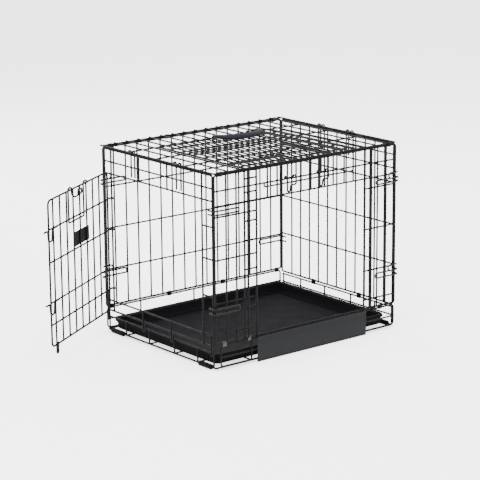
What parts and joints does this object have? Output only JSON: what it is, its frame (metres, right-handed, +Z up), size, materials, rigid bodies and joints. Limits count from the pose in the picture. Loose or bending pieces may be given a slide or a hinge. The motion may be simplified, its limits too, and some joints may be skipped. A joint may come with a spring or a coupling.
{
  "type": "wire dog crate",
  "caption": "Folding wire dog crate with a side-hinged end door, an overhead front door, lift-out floor pan, paw guard, corner latches and a carry handle.",
  "frame": {"origin": "on the floor, at the middle of the whole box with the end door standing open", "axes": "+X along the crate's long side, away from the swing door; +Y from the front with the overhead door to the back; +Z up"},
  "size_m": [0.9405, 0.481, 0.5167],
  "materials": {
    "black_wire": "satin black electro-coat on steel wire",
    "black_plastic": "moulded, fine grain",
    "grey_plastic": "moulded dark grey, slight sheen",
    "painted_sheet": "satin dark coat on thin sheet steel",
    "zinc_clip": "dulled zinc"
  },
  "bodies": {
    "crate": {"floor_grid": "black_wire", "curb_front": "black_wire", "curb_back": "black_wire", "curb_left": "black_wire", "curb_right": "black_wire", "back_panel": "black_wire", "front_panel": "black_wire", "left_end_panel": "black_wire", "roof_panel": "black_wire", "lock_bar": "black_wire", "left_hook_front": "black_wire", "left_hook_back": "black_wire", "right_hook_front": "black_wire", "right_hook_back": "black_wire", "foot_left_front": "black_plastic", "foot_left_back": "black_plastic", "foot_right_front": "black_plastic", "foot_right_back": "black_plastic", "roof_clip_back_1": "black_wire", "roof_clip_back_2": "black_wire", "roof_clip_back_3": "black_wire", "roof_clip_back_4": "black_wire", "roof_clip_front_1": "black_wire", "roof_clip_front_2": "black_wire", "base_clip_back_1": "black_wire", "base_clip_back_2": "black_wire", "base_clip_back_3": "black_wire", "base_clip_back_4": "black_wire", "base_clip_front_3": "black_wire", "base_clip_front_4": "black_wire", "base_clip_front_1": "zinc_clip", "base_clip_front_2": "zinc_clip"},
    "end_door": {"end_door": "black_wire", "end_door_plate": "black_plastic", "end_door_spring": "black_wire"},
    "upper_bolt": {"end_door_bolt_upper": "black_wire"},
    "lower_bolt": {"end_door_bolt_lower": "black_wire"},
    "bail": {"end_door_bail": "black_wire"},
    "overhead_door": {"overhead_door": "black_wire"},
    "left_catch": {"door_catch_left": "black_wire"},
    "right_catch": {"door_catch_right": "black_wire"},
    "right_end": {"right_end_panel": "black_wire", "base_clip_right_1": "black_wire", "base_clip_right_2": "black_wire"},
    "handle": {"carry_handle": "grey_plastic"},
    "pan": {"floor_pan": "black_plastic"},
    "paw_guard": {"paw_guard": "painted_sheet"},
    "front_left_upper_latch": {"latch_front_left_upper": "black_wire"},
    "front_left_lower_latch": {"latch_front_left_lower": "black_wire"},
    "front_right_upper_latch": {"latch_front_right_upper": "black_wire"},
    "front_right_lower_latch": {"latch_front_right_lower": "black_wire"},
    "back_left_upper_latch": {"latch_back_left_upper": "black_wire"},
    "back_left_lower_latch": {"latch_back_left_lower": "black_wire"},
    "back_right_upper_latch": {"latch_back_right_upper": "black_wire"},
    "back_right_lower_latch": {"latch_back_right_lower": "black_wire"}
  },
  "joints": [
    {"name": "end_door_swing", "type": "hinge", "parent": "crate", "child": "end_door", "pos_m": [-0.1375, 0.197, 0.2545], "axis": [0, 0, 1], "range_deg": [-66, 59]},
    {"name": "upper_bolt_slide", "type": "slide", "parent": "end_door", "child": "upper_bolt", "axis": [0.8572, 0.515, 0], "range_m": [0, 0.03]},
    {"name": "lower_bolt_slide", "type": "slide", "parent": "end_door", "child": "lower_bolt", "axis": [0.8572, 0.515, 0], "range_m": [0, 0.03]},
    {"name": "bail_swing", "type": "hinge", "parent": "end_door", "child": "bail", "pos_m": [-0.30271, 0.10403, 0.438], "axis": [0.8572, 0.515, 0], "range_deg": [0, 100]},
    {"name": "overhead_door_tilt", "type": "hinge", "parent": "crate", "child": "overhead_door", "pos_m": [0.1725, -0.222, 0.491], "axis": [-1, 0, 0], "range_deg": [0, 90]},
    {"name": "left_catch_swing", "type": "hinge", "parent": "crate", "child": "left_catch", "pos_m": [0.1045, -0.2325, 0.4555], "axis": [-1, 0, 0], "range_deg": [0, 60]},
    {"name": "right_catch_swing", "type": "hinge", "parent": "crate", "child": "right_catch", "pos_m": [0.2127, -0.2325, 0.4555], "axis": [-1, 0, 0], "range_deg": [0, 60]},
    {"name": "right_end_fold", "type": "hinge", "parent": "crate", "child": "right_end", "pos_m": [0.4625, 0, 0.0545], "axis": [0, 1, 0], "range_deg": [-85, 0]},
    {"name": "handle_lift", "type": "hinge", "parent": "crate", "child": "handle", "pos_m": [0.1965, 0.1205, 0.4995], "axis": [-1, 0, 0], "range_deg": [0, 110]},
    {"name": "pan_lift", "type": "slide", "parent": "crate", "child": "pan", "axis": [0, 0, 1], "range_m": [0, 0.05]},
    {"name": "paw_guard_lift", "type": "slide", "parent": "crate", "child": "paw_guard", "axis": [0, 0, 1], "range_m": [0, 0.06]},
    {"name": "front_left_upper_latch_slide", "type": "slide", "parent": "crate", "child": "front_left_upper_latch", "axis": [-1, 0, 0], "range_m": [0, 0.018]},
    {"name": "front_left_lower_latch_slide", "type": "slide", "parent": "crate", "child": "front_left_lower_latch", "axis": [-1, 0, 0], "range_m": [0, 0.018]},
    {"name": "front_right_upper_latch_slide", "type": "slide", "parent": "crate", "child": "front_right_upper_latch", "axis": [1, 0, 0], "range_m": [0, 0.018]},
    {"name": "front_right_lower_latch_slide", "type": "slide", "parent": "crate", "child": "front_right_lower_latch", "axis": [1, 0, 0], "range_m": [0, 0.018]},
    {"name": "back_left_upper_latch_slide", "type": "slide", "parent": "crate", "child": "back_left_upper_latch", "axis": [-1, 0, 0], "range_m": [0, 0.018]},
    {"name": "back_left_lower_latch_slide", "type": "slide", "parent": "crate", "child": "back_left_lower_latch", "axis": [-1, 0, 0], "range_m": [0, 0.018]},
    {"name": "back_right_upper_latch_slide", "type": "slide", "parent": "crate", "child": "back_right_upper_latch", "axis": [1, 0, 0], "range_m": [0, 0.018]},
    {"name": "back_right_lower_latch_slide", "type": "slide", "parent": "crate", "child": "back_right_lower_latch", "axis": [1, 0, 0], "range_m": [0, 0.018]}
  ]
}
